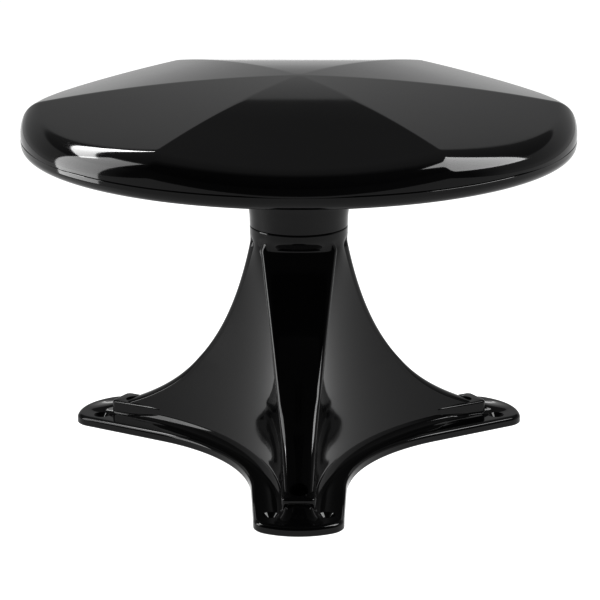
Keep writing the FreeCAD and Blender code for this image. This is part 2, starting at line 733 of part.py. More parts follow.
def spindle():
    """The hollow flanged shaft that carries the dome and takes the drive tube from below."""
    top = "hub_floor + hub_floor_thick"
    body = revolved("spindle_body", [
        ("drive_bore", "spindle_bottom"),
        ("spindle_radius", "spindle_bottom"),
        ("spindle_radius", "clip_bottom"),
        ("clip_groove", "clip_bottom"),
        ("clip_groove", "clip_bottom + clip_thick"),
        ("spindle_radius", "clip_bottom + clip_thick"),
        ("spindle_radius", top),
        ("spindle_flange", top),
        ("spindle_flange", top + " + spindle_flange_thick"),
        ("spindle_bore", top + " + spindle_flange_thick"),
        ("spindle_bore", "spindle_bottom + drive_depth"),
        ("drive_bore", "spindle_bottom + drive_depth"),
    ])
    hole = cylinder("spindle_hole", "flange_hole", CLEAR, ("flange_screw_circle", "0", top + " - 1"))
    holes = around("spindle_hole_at", hole, CORNERS)
    tapped = cylinder("drive_hole", "drive_screw", CLEAR,
                      ("drive_bore / 2", "0", "spindle_bottom + drive_screw_rise"),
                      (Vector(0, 1, 0), 90))
    keep(cut("spindle_part", body, group("spindle_holes", holes + [tapped])), "spindle")
    one = screw("spindle_screw", ("flange_screw_circle", "0", top + " + spindle_flange_thick"),
                "flange_screw_head", "cover_screw_head_height", "cover_pilot", "flange_screw_length")
    keep(group("spindle_screws_part", around("spindle_screw_at", one, CORNERS)), "spindle_screws")
    washer_bottom = "tube_top + bush_flange_thick + washer_thick + washer_gap"
    keep(ring("friction_washer_part", "bush_flange", "spindle_radius",
              "hub_floor - (%s)" % washer_bottom, ("0", "0", washer_bottom)), "friction_washer")
    keep(ring("lower_washer_part", "tube_radius - 0.5", "spindle_radius", "washer_thick",
              ("0", "0", "clip_bottom + clip_thick")), "lower_washer")
    clip = ring("clip_ring", "clip_groove + clip_width", "clip_groove", "clip_thick",
                ("0", "0", "clip_bottom"))
    gap = centred_box("clip_gap", "2 * clip_width", "pin_boss_height", "3 * clip_thick",
                      ("0 - clip_groove - 2", "0", "clip_bottom - clip_thick"))
    keep(cut("retaining_ring_part", clip, gap), "retaining_ring")
    height = "spindle_bottom + drive_screw_rise"
    shank = cylinder("drive_screw_shank", "drive_screw", "drive_screw_length",
                     ("drive_bore + 0.1", "0", height), (Vector(0, 1, 0), 90))
    head = cylinder("drive_screw_cap", "drive_screw_head", "drive_screw_head_height",
                    ("spindle_radius + 0.05", "0", height), (Vector(0, 1, 0), 90))
    keep(fuse("drive_screw_part", [shank, head]), "drive_screw")


# ---------------------------------------------------------------- inside the dome

def carrier():
    """The moulded tray that holds the antenna elements clear of the pan."""
    plate = cylinder("carrier_plate", "carrier_radius", "carrier_thick", ("0", "0", "carrier_height"))
    below = "carrier_height - carrier_thick"
    window = cylinder("carrier_window_cut", "carrier_window", CLEAR, ("0", "0", below))
    bay = cylinder("carrier_bay_cut", "carrier_bay", CLEAR, ("carrier_bay_circle", "0", below))
    hole = cylinder("carrier_hole", "cover_clearance", CLEAR, ("carrier_screw_circle", "0", below))
    bays = around("carrier_bay_at", bay, (0.0, 180.0))
    holes = group("carrier_openings", [window] + bays + around("carrier_hole_at", hole, CORNERS))
    posts = []
    for index, (across, along) in enumerate(post_places()):
        posts.append(cylinder("post_%d" % index, "post_radius", "deck - carrier_height",
                              (across, along, "carrier_height")))
    tray = cut("carrier_tray", plate, holes)
    pilots = []
    for index, (across, along) in enumerate(post_places()):
        pilots.append(cylinder("post_pilot_%d" % index, "cover_pilot", "pilot_depth",
                               (across, along, "carrier_height - 1")))
    keep(cut("element_carrier_part", fuse("carrier_with_posts", [tray] + posts),
             group("post_pilots", pilots)), "element_carrier")
    one = screw("carrier_screw", ("carrier_screw_circle", "0", "carrier_height + carrier_thick"),
                "carrier_screw_head", "carrier_screw_head_height", "cover_pilot", "carrier_screw_length")
    keep(group("carrier_screws_part", around("carrier_screw_at", one, CORNERS)), "carrier_screws")


# posts across the object: under the two bars, under the wings, and in two rows under the board
BAR_POSTS = ("54", "0 - 54")
WING_POSTS = ("40", "88", "0 - 40", "0 - 88")
BOARD_POSTS = ("24", "0 - 24")
BOARD_ROWS = ("28", "60")
SHEET_POSTS = 8


def post_places():
    """Where the posts that hold the elements and the board stand."""
    places = [(across, along) for along in ("director_at", "reflector_at")
              for across in BAR_POSTS]
    places += [(across, "driven_at") for across in WING_POSTS]
    places += [(across, along) for along in BOARD_ROWS for across in BOARD_POSTS]
    return places


def drilled(name, blank, places):
    """A flat piece on the deck with a clearance hole at each of its screws."""
    holes = []
    for index, (across, along) in enumerate(places):
        holes.append(cylinder("%s_screw_hole_%d" % (name, index), "cover_clearance", CLEAR,
                              (across, along, "deck - element_thick")))
    return cut(name, blank, group(name + "_screw_holes", holes))


def elements():
    """The stamped aluminium reflector, two driven wings and director, on one deck."""
    for word in ("reflector", "director"):
        bar = centred_box(word + "_blank", word + "_length", word + "_width", "element_thick",
                          ("0", word + "_at", "deck"))
        keep(drilled(word + "_part", bar, [(across, word + "_at") for across in BAR_POSTS]), word)
    for side, word, posts in ((1, "right", WING_POSTS[:2]), (-1, "left", WING_POSTS[2:])):
        inner = Vector(side * size("wing_start"), size("driven_at"), size("deck"))
        outer = Vector(side * size("wing_end"), size("driven_at"), size("deck"))
        inner_half = Vector(0, size("wing_start_half"), 0)
        outer_half = Vector(0, size("wing_end_half"), 0)
        corners = [inner + inner_half, outer + outer_half, outer - outer_half, inner - inner_half]
        outline = custom("wing_outline_" + word, Part.makePolygon(corners + [corners[0]]))
        wing = DOC.addObject("Part::Extrusion", "wing_" + word)
        wing.Base = outline
        wing.DirMode = "Custom"
        wing.Dir = Vector(0, 0, 1)
        wing.Solid = True
        wing.setExpression("LengthFwd", bound("element_thick"))
        window = centred_box("wing_opening_" + word, "wing_window_length", "wing_window_width",
                             "3 * element_thick",
                             ("%d * wing_window_at" % side, "driven_at", "deck - element_thick"))
        blank = cut("driven_element_blank_" + word, wing, window)
        keep(drilled("driven_element_part_" + word, blank, [(across, "driven_at") for across in posts]),
             "driven_element_" + word)
    screws = []
    for index, (across, along) in enumerate(post_places()[:SHEET_POSTS]):
        screws.append(screw("element_screw_%d" % index, (across, along, "deck + element_thick"),
                            "element_screw_head", "element_screw_head_height", "cover_pilot",
                            "small_screw_length"))
    keep(group("element_screws_part", screws), "element_screws")


def electronics():
    """The amplifier board with its can and sockets, and the lead down the spindle."""
    board = centred_box("board_blank", "board_length", "board_width", "board_thick",
                        ("0", "board_at", "deck"))
    board_posts = post_places()[SHEET_POSTS:]
    keep(drilled("board_part", board, board_posts), "amplifier_board")
    board_top = "deck + board_thick"
    shell = centred_box("can_shell", "can_length", "can_width", "can_height",
                        ("0", "can_at", board_top))
    hollow = centred_box("can_hollow", "can_length - 2 * can_wall", "can_width - 2 * can_wall",
                         "can_height - can_wall", ("0", "can_at", board_top))
    keep(cut("shield_can_part", shell, hollow), "shield_can")
    screws = []
    for index, (across, along) in enumerate(board_posts):
        screws.append(screw("board_screw_%d" % index, (across, along, board_top),
                            "board_screw_head", "board_screw_head_height", "cover_pilot",
                            "small_screw_length"))
    keep(group("board_screws_part", screws), "board_screws")
    socket = centred_box("socket_part", "socket_length", "socket_width", "socket_height",
                         ("0", "socket_at", board_top))
    keep(socket, "board_socket")
    keep(cylinder("plug_part", "lead_radius + plug_wall", "plug_length", ("0", "plug_at", "lead_height"),
                  (Vector(1, 0, 0), 90)), "lead_plug")
    keep(custom("lead_part", lead_shape()), "signal_lead")
    foot = "spindle_bottom + jack_rise"
    bottom = ("0", "0", foot + " - jack_barrel_drop")
    barrel = cylinder("jack_tube", "jack_barrel", "jack_barrel_length", bottom)
    disc = cylinder("jack_disc", "spindle_bore", "jack_disc_thick", ("0", "0", foot))
    pin_bore = cylinder("jack_contact_bore", "jack_pin_bore", "jack_pin_depth", bottom)
    keep(cut("coax_jack_part", fuse("jack_solid", [barrel, disc]), pin_bore), "coax_jack")
    nut = DOC.addObject("Part::Prism", "jack_nut_blank")
    nut.Polygon = 6
    nut.setExpression("Circumradius", bound("spindle_bore - nut_gap"))
    nut.setExpression("Height", bound("nut_thick"))
    nut_at = ("0", "0", foot + " - nut_thick")
    place(nut, nut_at)
    bore = cylinder("jack_nut_bore", "jack_barrel", "nut_thick", nut_at)
    keep(cut("jack_nut_part", nut, bore), "jack_nut")


def lead_shape():
    """The lead from the jack up the spindle, round one bend to the plug on the board."""
    radius = size("lead_radius")
    turn = size("lead_turn")
    low = size("spindle_bottom") + size("lead_rise")
    high = size("lead_height")
    start = Vector(0, 0, low)
    bend_start = Vector(0, 0, high - turn)
    bend_mid = Vector(0, turn * (1 - math.cos(math.pi / 4)), high - turn * (1 - math.sin(math.pi / 4)))
    bend_end = Vector(0, turn, high)
    end = Vector(0, size("plug_at") - size("plug_length"), high)
    path = Part.Wire([Part.LineSegment(start, bend_start).toShape(),
                      Part.Arc(bend_start, bend_mid, bend_end).toShape(),
                      Part.LineSegment(bend_end, end).toShape()])
    section = Part.Wire([Part.makeCircle(radius, start, Vector(0, 0, 1))])
    tube = path.makePipeShell([section], True, False)
    expected = math.pi * radius ** 2 * path.Length
    print("signal_lead length %.1f, volume ratio %.4f" % (path.Length, tube.Volume / expected))
    return tube


# ---------------------------------------------------------------- build and check

def check_document():
    broken = [item.Name for item in DOC.Objects
              if "Invalid" in item.State or "Error" in item.State]
    if broken:
        raise RuntimeError("failed objects: " + ", ".join(broken))
    for node in NODES:
        if node.Shape.isNull() or not node.Shape.isValid():
            raise RuntimeError("bad shape: " + node.Label)


def write_parts():
    os.makedirs("parts", exist_ok=True)
    for node in NODES:
        node.Shape.exportStep(os.path.join("parts", node.Label + ".step"))
        print("%-24s %10.0f mm3  %d solid(s)" % (node.Label, node.Shape.Volume, len(node.Shape.Solids)))


def main():
    pedestal()
    roof_gasket()
    bearings()
    upper_cover()
    lower_cover()
    dome_fittings()
    spindle()
    carrier()
    elements()
    electronics()
    DOC.recompute()
    check_document()
    write_parts()


main()
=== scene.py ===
import json
import math

import bmesh
import bpy
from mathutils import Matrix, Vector


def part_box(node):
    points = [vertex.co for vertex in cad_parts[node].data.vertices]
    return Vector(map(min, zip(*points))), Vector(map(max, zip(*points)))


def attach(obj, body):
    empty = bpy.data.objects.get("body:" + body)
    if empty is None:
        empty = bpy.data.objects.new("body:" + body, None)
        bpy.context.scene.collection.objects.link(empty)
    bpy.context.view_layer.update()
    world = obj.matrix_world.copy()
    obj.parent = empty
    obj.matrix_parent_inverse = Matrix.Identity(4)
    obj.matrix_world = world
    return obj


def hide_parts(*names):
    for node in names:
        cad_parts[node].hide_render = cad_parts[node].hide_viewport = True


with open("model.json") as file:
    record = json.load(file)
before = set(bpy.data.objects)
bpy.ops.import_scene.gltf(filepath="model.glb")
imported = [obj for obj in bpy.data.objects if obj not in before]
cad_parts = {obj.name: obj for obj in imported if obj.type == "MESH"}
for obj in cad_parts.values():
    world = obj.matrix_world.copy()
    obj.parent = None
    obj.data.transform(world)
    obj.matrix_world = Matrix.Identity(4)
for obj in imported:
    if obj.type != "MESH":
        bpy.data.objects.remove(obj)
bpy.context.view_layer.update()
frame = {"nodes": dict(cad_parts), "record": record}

# A rotating roof antenna: glossy black faceted dome on a flared three-legged mount.
# Metres, +Z up, the front leg towards -Y. Outlines of the mount's legs are worked out in
# millimetres along and across a leg, and become metres where their rings are made.
MM = 0.001
LEGS = (270.0, 30.0, 150.0)
SIXTHS = tuple(60.0 * step for step in range(6))

PAN_LOW, PAN_HIGH = (Vector(corner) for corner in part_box("lower_cover"))
DOME_TOP = Vector(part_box("upper_cover")[1]).z
PARTING = PAN_HIGH.z
HUB_BOTTOM = PAN_LOW.z
# the neck stops just short of the hub, so the two don't touch as the dome turns
NECK_TOP = HUB_BOTTOM - 0.0002


# ---------------------------------------------------------------- mesh helpers

def linked(name, data):
    """An object for some data, in the scene."""
    piece = bpy.data.objects.new(name, data)
    bpy.context.scene.collection.objects.link(piece)
    return piece


def as_data(mesh, name):
    """Mesh data from a bmesh, which is freed."""
    data = bpy.data.meshes.new(name)
    mesh.to_mesh(data)
    mesh.free()
    return data


def smoothed(data, sharp):
    """Smooth-shaded data whose edges above the angle stay crisp."""
    data.shade_smooth()
    data.set_sharp_from_angle(angle=math.radians(sharp))
    return data


def add_mesh(mesh, other):
    """Join a second bmesh into the first."""
    data = as_data(other, "joined")
    mesh.from_mesh(data)
    bpy.data.meshes.remove(data)


def skin(rings):
    """A closed mesh through rings of equal length, with a fan over each end."""
    mesh = bmesh.new()
    rows = [[mesh.verts.new(point) for point in ring] for ring in rings]
    count = len(rows[0])
    for low, high in zip(rows, rows[1:]):
        for index in range(count):
            after = (index + 1) % count
            mesh.faces.new((low[index], low[after], high[after], high[index]))
    for row in (rows[0], rows[-1]):
        centre = mesh.verts.new(sum((vertex.co for vertex in row), Vector()) / count)
        for index in range(count):
            mesh.faces.new((row[index], row[(index + 1) % count], centre))
    bmesh.ops.recalc_face_normals(mesh, faces=mesh.faces)
    return mesh


def lathe(profile, segments):
    """A closed solid turned from a closed (radius, height) profile that keeps off the axis."""
    mesh = bmesh.new()
    rows = []
    for step in range(segments):
        angle = 2 * math.pi * step / segments
        rows.append([mesh.verts.new((radius * math.cos(angle), radius * math.sin(angle), height))
                     for radius, height in profile])
    count = len(profile)
    for step in range(segments):
        row, after = rows[step], rows[(step + 1) % segments]
        for index in range(count):
            other = (index + 1) % count
            mesh.faces.new((row[index], after[index], after[other], row[other]))
    bmesh.ops.recalc_face_normals(mesh, faces=mesh.faces)
    return mesh


def circle(radius, height, count, centre=(0.0, 0.0)):
    """A level ring of points."""
    return [Vector((centre[0] + radius * math.cos(2 * math.pi * step / count),
                    centre[1] + radius * math.sin(2 * math.pi * step / count), height))
            for step in range(count)]


def drum(radius_low, radius_high, bottom, top, centre, segments=48):
    """A capped drum for cutting holes and adding bosses."""
    return skin([circle(radius_low, bottom, segments, centre),
                 circle(radius_high, top, segments, centre)])


def arc_points(centre, radius, start, end, steps):
    """Points on an arc in the (radius, height) plane, angles in degrees."""
    angles = [math.radians(start + (end - start) * step / steps) for step in range(steps + 1)]
    return [(centre[0] + radius * math.cos(angle), centre[1] + radius * math.sin(angle))
            for angle in angles]


def boolean(data, tools, operation):
    """Mesh data after a boolean with each named tool mesh in turn."""
    holder = linked("boolean_holder", data)
    tools = [linked(name, as_data(mesh, name)) for name, mesh in tools]
    for tool in tools:
        step = holder.modifiers.new(tool.name, "BOOLEAN")
        step.operation = operation
        step.object = tool
        step.solver = "EXACT"
    graph = bpy.context.evaluated_depsgraph_get()
    result = bpy.data.meshes.new_from_object(holder.evaluated_get(graph))
    for item in tools + [holder]:
        bpy.data.objects.remove(item)
    return result


def polar(radial, across, angle):
    """Plan position of a point `radial` out along a leg and `across` it."""
    cosine, sine = math.cos(math.radians(angle)), math.sin(math.radians(angle))
    return (radial * cosine - across * sine, radial * sine + across * cosine)


def spaced(count, start, end):
    """Evenly spaced numbers, `count` gaps between the first and the last."""
    return [start + (end - start) * step / count for step in range(count + 1)]


# ---------------------------------------------------------------- dome

DOME_RADIUS = 0.160
VAULT_RADIUS = 0.700
VAULT_OFFSET = 0.020
SHOULDER = 0.0145
RIDGE_SOFTNESS = 0.0007
WALL = 0.0025
SEAM_HALF_GAP = 0.0001
SHELL_EDGE = 0.0002
SHELL_AROUND = 720
OUTER_STEPS, INNER_STEPS, ROLL_STEPS = 60, 24, 18
FLARE_STEPS, LIP_STEPS, LIP_INNER_STEPS = 18, 14, 8
BOSS_SEGMENTS, RECESS_SEGMENTS = 32, 40
SLOPE_STEP = 1e-5
HALVINGS = 40
SHELL_SHARP = 24.0

# the six cover screws: bosses in the shell, recesses in the pan
SCREW_CIRCLE = 0.140
BOSS_FOOT, BOSS_HEAD = 0.0045, 0.0047
BOSS_BELOW, BOSS_ABOVE = 0.002, 0.0172
RECESS_RADIUS = 0.0036
RECESS_LOW, RECESS_HIGH = 0.1780, 0.1833

LIP = 0.0053
LIP_CENTRE = (DOME_RADIUS - LIP, 0.1899)
LIP_EDGE, LIP_CHAMFER = 0.0005, 0.0004
PAN_SLOPE = 9.0
PAN_INNERMOST, PAN_STEP, PAN_STEPS = 0.062, 0.0129, 7
PAN_SEGMENTS = 288
PAN_SHARP = 30.0

HUB_RADIUS = 0.0286
HUB_EDGE = 0.0002
HUB_WALL = 0.003
HUB_FLARE = 0.018
HUB_FLARE_INNER_RADIUS = 0.0294
HUB_STRAIGHT_TOP = 0.1445
HUB_BORE = 0.0123
HUB_FLOOR_LOW, HUB_FLOOR_HIGH = 0.1461, 0.1541


def vault_height(distance):
    """Height of one facet at a distance out along it: a shallow circular arc."""
    rise = math.sqrt(VAULT_RADIUS ** 2 - VAULT_OFFSET ** 2)
    return DOME_TOP - rise + math.sqrt(VAULT_RADIUS ** 2 - (distance + VAULT_OFFSET) ** 2)


def facet_distance(radius, angle):
    """How far out a plan point stands along the facets, softly blended across the ridges."""
    reaches = [radius * math.cos(angle - math.radians(30.0 + turn)) for turn in SIXTHS]
    reaches.sort(reverse=True)
    gap = reaches[0] - reaches[1]
    if gap > 2 * RIDGE_SOFTNESS:
        return reaches[0]
    return reaches[0] + (2 * RIDGE_SOFTNESS - gap) ** 2 / (8 * RIDGE_SOFTNESS)


def dome_meridian(angle, inset, steps):
    """Points from the apex to the rim along one azimuth: facet, then rolled shoulder."""
    rim = DOME_RADIUS - inset
    roll = SHOULDER - inset

    def height(radius):
        return vault_height(facet_distance(radius, angle)) - inset

    def slope_at(radius):
        return (height(radius + SLOPE_STEP) - height(radius - SLOPE_STEP)) / (2 * SLOPE_STEP)

    # the radius where the roll touches the facet, found by halving
    low, high = rim - roll, rim
    for _ in range(HALVINGS):
        middle = (low + high) / 2
        slope = slope_at(middle)
        reach = middle + roll * slope / math.sqrt(1 + slope * slope)
        low, high = (middle, high) if reach < rim - roll else (low, middle)
    touch = (low + high) / 2
    slope = slope_at(touch)
    norm = math.sqrt(1 + slope * slope)
    centre = (rim - roll, height(touch) - roll / norm)
    start = 90.0 - math.degrees(math.atan(-slope))
    points = [(touch * step / steps, height(touch * step / steps))
              for step in range(1, steps + 1)]
    points += arc_points(centre, roll, start, 0.0, ROLL_STEPS)[1:]
    return points


def dome_rings(inset, steps):
    """Rings of the shell's outside, or of its inside when inset, from the apex to the rim."""
    angles = [2 * math.pi * step / SHELL_AROUND for step in range(SHELL_AROUND)]
    meridians = [dome_meridian(angle, inset, steps) for angle in angles]
    rings = []
    for index in range(len(meridians[0])):
        rings.append([Vector((line[index][0] * math.cos(angle),
                              line[index][0] * math.sin(angle), line[index][1]))
                      for angle, line in zip(angles, meridians)])
    return rings


def upper_cover():
    """The faceted shell with its screw bosses."""
    seam = PARTING + SEAM_HALF_GAP
    rings = dome_rings(0.0, OUTER_STEPS)
    rings += [circle(DOME_RADIUS, seam + SHELL_EDGE, SHELL_AROUND),
              circle(DOME_RADIUS - SHELL_EDGE, seam, SHELL_AROUND),
              circle(DOME_RADIUS - WALL, seam, SHELL_AROUND)]
    rings += reversed(dome_rings(WALL, INNER_STEPS))
    mesh = skin(rings)
    for turn in SIXTHS:
        place = polar(SCREW_CIRCLE, 0.0, turn)
        add_mesh(mesh, drum(BOSS_FOOT, BOSS_HEAD, PARTING - BOSS_BELOW, PARTING + BOSS_ABOVE,
                            place, BOSS_SEGMENTS))
    return smoothed(as_data(mesh, "dome_shell"), SHELL_SHARP)


def lower_cover():
    """The pan with its rolled lip, flared hub and hub floor."""
    slope = math.radians(PAN_SLOPE)
    lip_bottom = (LIP_CENTRE[0] + LIP * math.sin(slope), LIP_CENTRE[1] - LIP * math.cos(slope))

    def under(radius, thick=0.0):
        return lip_bottom[1] - (lip_bottom[0] - radius) * math.tan(slope) + thick

    flare_out = HUB_FLARE_INNER_RADIUS + HUB_FLARE
    flare_centre = (flare_out, under(flare_out) - HUB_FLARE / math.cos(slope))
    radii = [PAN_INNERMOST + PAN_STEP * step for step in range(PAN_STEPS)]
    hub_inside = HUB_RADIUS - HUB_WALL
    # outside, from the hub's lower edge up and out to the seam
    outline = [(HUB_RADIUS - HUB_EDGE, HUB_BOTTOM), (HUB_RADIUS, HUB_BOTTOM + HUB_EDGE),
               (HUB_RADIUS + HUB_EDGE, HUB_STRAIGHT_TOP)]
    outline += arc_points(flare_centre, HUB_FLARE, 180.0, 90.0 + PAN_SLOPE, FLARE_STEPS)
    outline += [(radius, under(radius)) for radius in radii]
    outline += arc_points(LIP_CENTRE, LIP, -90.0 + PAN_SLOPE, 0.0, LIP_STEPS)
    outline += [(DOME_RADIUS, PARTING - LIP_EDGE),
                (DOME_RADIUS - LIP_CHAMFER, PARTING - SEAM_HALF_GAP)]
    # inside, back in and down to the hub's floor
    outline += [(DOME_RADIUS - WALL, PARTING - SEAM_HALF_GAP)]
    outline += arc_points(LIP_CENTRE, LIP - WALL, 0.0, -90.0 + PAN_SLOPE, LIP_INNER_STEPS)
    outline += [(radius, under(radius, WALL / math.cos(slope))) for radius in reversed(radii)]
    outline += arc_points(flare_centre, HUB_FLARE + WALL, 90.0 + PAN_SLOPE, 180.0,
                          FLARE_STEPS)
    outline += [(hub_inside, HUB_FLOOR_HIGH), (HUB_BORE, HUB_FLOOR_HIGH),
                (HUB_BORE, HUB_FLOOR_LOW), (hub_inside, HUB_FLOOR_LOW),
                (hub_inside, HUB_BOTTOM)]
    pan = as_data(lathe(outline, PAN_SEGMENTS), "pan")
    cutters = []
    for index, turn in enumerate(SIXTHS):
        place = polar(SCREW_CIRCLE, 0.0, turn)
        cutters.append(("pan_recess_%d" % index,
                        drum(RECESS_RADIUS, RECESS_RADIUS, RECESS_LOW, RECESS_HIGH, place,
                             RECESS_SEGMENTS)))
    return smoothed(boolean(pan, cutters, "DIFFERENCE"), PAN_SHARP)


# ---------------------------------------------------------------- mount: outlines, in millimetres

# points on half an outline: along the crest, round its corner, down the side into the bay
CREST_STEPS = 10
CORNER_STEPS = 8
SIDE_STEPS = 40

# how far a leg reaches at each height is a hyperbola: see fin_reach
FIN_PRODUCT = 9540.0
FIN_LIFT = 49.4
FIN_SHIFT = 31.8
FIN_HALF_BASE = 6.2
FIN_DRAFT = 0.126
FIN_WAIST_SHARE = 0.78
FIN_EDGE = 4.5
FIN_EDGE_LEAST = 1.0
FIN_EDGE_SHARE = 0.9
# the crest's edges are rounder low down
LOW_EDGE_GAIN = 3.2
LOW_EDGE_HEIGHT = 50.0
# the bays widen downwards from the neck
NECK_RADIUS = 28.6
NECK_LEVEL = 137.7
WAIST_GAIN = 13.4
BAY_WAY = Vector((0.5, math.sqrt(0.75)))
# between these heights the star turns into the round neck
BLEND_START = 126.5
BLEND_END = 134.0
# where the crest, its corner and the side lie on the round neck, in degrees
CREST_TURN, CORNER_TURN, SIDE_TURN = 33.0, 12.0, 15.0
# under this offset along the bay's bisector the side's arc is drawn as a line
STRAIGHT_ENOUGH = 0.02

# the flange: a rounded end, two corners, tapering straight sides and wide bays
FLANGE = 5.5
FLANGE_ROUND = 2.4
FLANGE_CHAMFER = 0.5
FLANGE_END_CENTRE = Vector((112.3, 0.0))
FLANGE_END = 38.2
FLANGE_CORNER = 12.0
FLANGE_TAPER = 2.2
FLANGE_BAY_CENTRE = Vector((83.6, 144.7))
FLANGE_BAY = 117.5
FLANGE_LINE_STEPS = 14

WEB_FILLET = 5.5
MOUNT_WALL = 3.0
INNER_REACH = 96.0
HOLLOW_BOTTOM, HOLLOW_TOP = 2.0, 133.2
ROUND_STEPS = 8
# the neck's top edge as (how far below the top, inset), and the rings below it
NECK_EDGE = ((0.0, 0.3), (0.1, 0.1), (0.3, 0.0))
NECK_START = 1.1
NECK_LAST, FIN_FIRST = 126.0, 124.8
NECK_RINGS, FIN_RINGS, HOLLOW_RINGS = 22, 80, 40


def clamped(value):
    return min(max(value, 0.0), 1.0)


def fin_reach(height):
    return FIN_PRODUCT / (height + FIN_LIFT) - FIN_SHIFT


def neck_turn(index):
    """The azimuth, off the leg, where each outline point goes on the round neck."""
    if index < CREST_STEPS:
        return CREST_TURN * index / CREST_STEPS
    if index < CREST_STEPS + CORNER_STEPS:
        return CREST_TURN + CORNER_TURN * (index - CREST_STEPS) / CORNER_STEPS
    return (CREST_TURN + CORNER_TURN
            + SIDE_TURN * (index - CREST_STEPS - CORNER_STEPS) / SIDE_STEPS)


def side_arc(start, bay):
    """Points from the fin's corner to the bay's middle on the arc that meets the bay squarely."""
    gap = start - bay
    along = gap.dot(BAY_WAY)
    if abs(along) < STRAIGHT_ENOUGH:
        return [tuple(start + (bay - start) * (step / SIDE_STEPS))
                for step in range(SIDE_STEPS + 1)]
    radius = gap.length_squared / (2 * along)
    centre = bay + BAY_WAY * radius
    first = start - centre
    last = bay - centre
    first_angle = math.atan2(first.y, first.x)
    sweep = (math.atan2(last.y, last.x) - first_angle + math.pi) % (2 * math.pi) - math.pi
    points = []
    for step in range(SIDE_STEPS + 1):
        angle = first_angle + sweep * step / SIDE_STEPS
        points.append((centre.x + abs(radius) * math.cos(angle),
                       centre.y + abs(radius) * math.sin(angle)))
    return points


def star_half(height, inset, reach_limit=math.inf):
    """Half of one leg's section, (along, across), from the crest's middle to the bay's."""
    reach = min(fin_reach(height), reach_limit) - inset
    low = clamped((LOW_EDGE_HEIGHT - height) / LOW_EDGE_HEIGHT)
    edge = max(FIN_EDGE + LOW_EDGE_GAIN * math.sin(math.pi * low) - inset, FIN_EDGE_LEAST)
    rise = 1.0 - height / NECK_LEVEL
    waist = NECK_RADIUS + WAIST_GAIN * rise * rise - inset
    half = min(FIN_HALF_BASE + FIN_DRAFT * height - inset, waist * FIN_WAIST_SHARE)
    edge = min(edge, half * FIN_EDGE_SHARE)
    flat = half - edge
    points = [(reach, flat * step / CREST_STEPS) for step in range(CREST_STEPS)]
    points += [(reach - edge + edge * math.cos(math.pi / 2 * step / CORNER_STEPS),
                flat + edge * math.sin(math.pi / 2 * step / CORNER_STEPS))
               for step in range(CORNER_STEPS)]
    points += side_arc(Vector((reach - edge, half)), BAY_WAY * waist)
    blend = clamped((height - BLEND_START) / (BLEND_END - BLEND_START))
    blend = blend * blend * (3.0 - 2.0 * blend)
    radius = NECK_RADIUS - inset
    blended = []
    for index, (along, across) in enumerate(points):
        turn = math.radians(neck_turn(index))
        blended.append((along + (radius * math.cos(turn) - along) * blend,
                        across + (radius * math.sin(turn) - across) * blend))
    return blended


def flange_half(inset):
    """Half of one leg's flange outline, with the same count of points as star_half."""
    end, corner, bay = FLANGE_END - inset, FLANGE_CORNER - inset, FLANGE_BAY + inset
    taper = math.radians(FLANGE_TAPER)
    normal = Vector((math.sin(taper), math.cos(taper)))
    # the corner's centre, where the end's arc and the tapering side both touch the corner
    reach = FLANGE_END - FLANGE_CORNER
    foot = (FLANGE_BAY_CENTRE.dot(normal) - FLANGE_BAY - FLANGE_CORNER
            - FLANGE_END_CENTRE.dot(normal))
    centre = (FLANGE_END_CENTRE + normal * foot
              + Vector((normal.y, -normal.x)) * math.sqrt(reach ** 2 - foot ** 2))
    out = (centre - FLANGE_END_CENTRE).normalized()
    end_turn = math.atan2(out.y, out.x)
    side_turn = math.atan2(normal.y, normal.x)
    points = []
    for step in range(CREST_STEPS):
        turn = end_turn * step / CREST_STEPS
        points.append((FLANGE_END_CENTRE.x + end * math.cos(turn), end * math.sin(turn)))
    for step in range(CORNER_STEPS):
        turn = end_turn + (side_turn - end_turn) * step / CORNER_STEPS
        points.append((centre.x + corner * math.cos(turn), centre.y + corner * math.sin(turn)))
    line_start = centre + normal * corner
    line_end = FLANGE_BAY_CENTRE - normal * bay
    for step in range(FLANGE_LINE_STEPS):
        points.append(tuple(line_start + (line_end - line_start) * (step / FLANGE_LINE_STEPS)))
    first = math.atan2(-normal.y, -normal.x)
    last = math.atan2(-FLANGE_BAY_CENTRE.y, -FLANGE_BAY_CENTRE.x)
    rest = SIDE_STEPS - FLANGE_LINE_STEPS
    for step in range(rest + 1):
        turn = first + (last - first) * step / rest
        points.append((FLANGE_BAY_CENTRE.x + bay * math.cos(turn),
                       FLANGE_BAY_CENTRE.y + bay * math.sin(turn)))
    return points


def outset(half, distance):
    """The half outline moved outwards along its own normals."""
    moved = []
    for index, (along, across) in enumerate(half):
        before = half[index - 1] if index else (half[1][0], -half[1][1])
        if index + 1 < len(half):
            after = half[index + 1]
        else:
            # the mirror image of the point before, across the bay's bisector
            back_along, back_across = half[index - 1]
            turn = math.radians(120.0)
            after = (back_along * math.cos(turn) + back_across * math.sin(turn),
                     back_along * math.sin(turn) - back_across * math.cos(turn))
        way = Vector((after[0] - before[0], after[1] - before[1])).normalized()
        moved.append((along + way.y * distance, across - way.x * distance))
    return moved


def mixed_half(first, second, share):
    """An outline part of the way from one half outline to another."""
    return [(a[0] + (b[0] - a[0]) * share, a[1] + (b[1] - a[1]) * share)
            for a, b in zip(first, second)]


# ---------------------------------------------------------------- mount: solid

# noses: screw bosses at the legs' feet, in millimetres; NOSE_FOOT is (outset, height) of rings
NOSE_START, NOSE_END = 86.0, 127.2
NOSE_HALF = 9.7
NOSE_CORNER = 3.4
NOSE_EDGE = 1.3
NOSE_EDGE_STEPS = 5
NOSE_TOP = 13.6
NOSE_FOOT = ((0.9, 4.0), (0.8, 5.6), (0.25, 6.3), (0.0, 7.2))

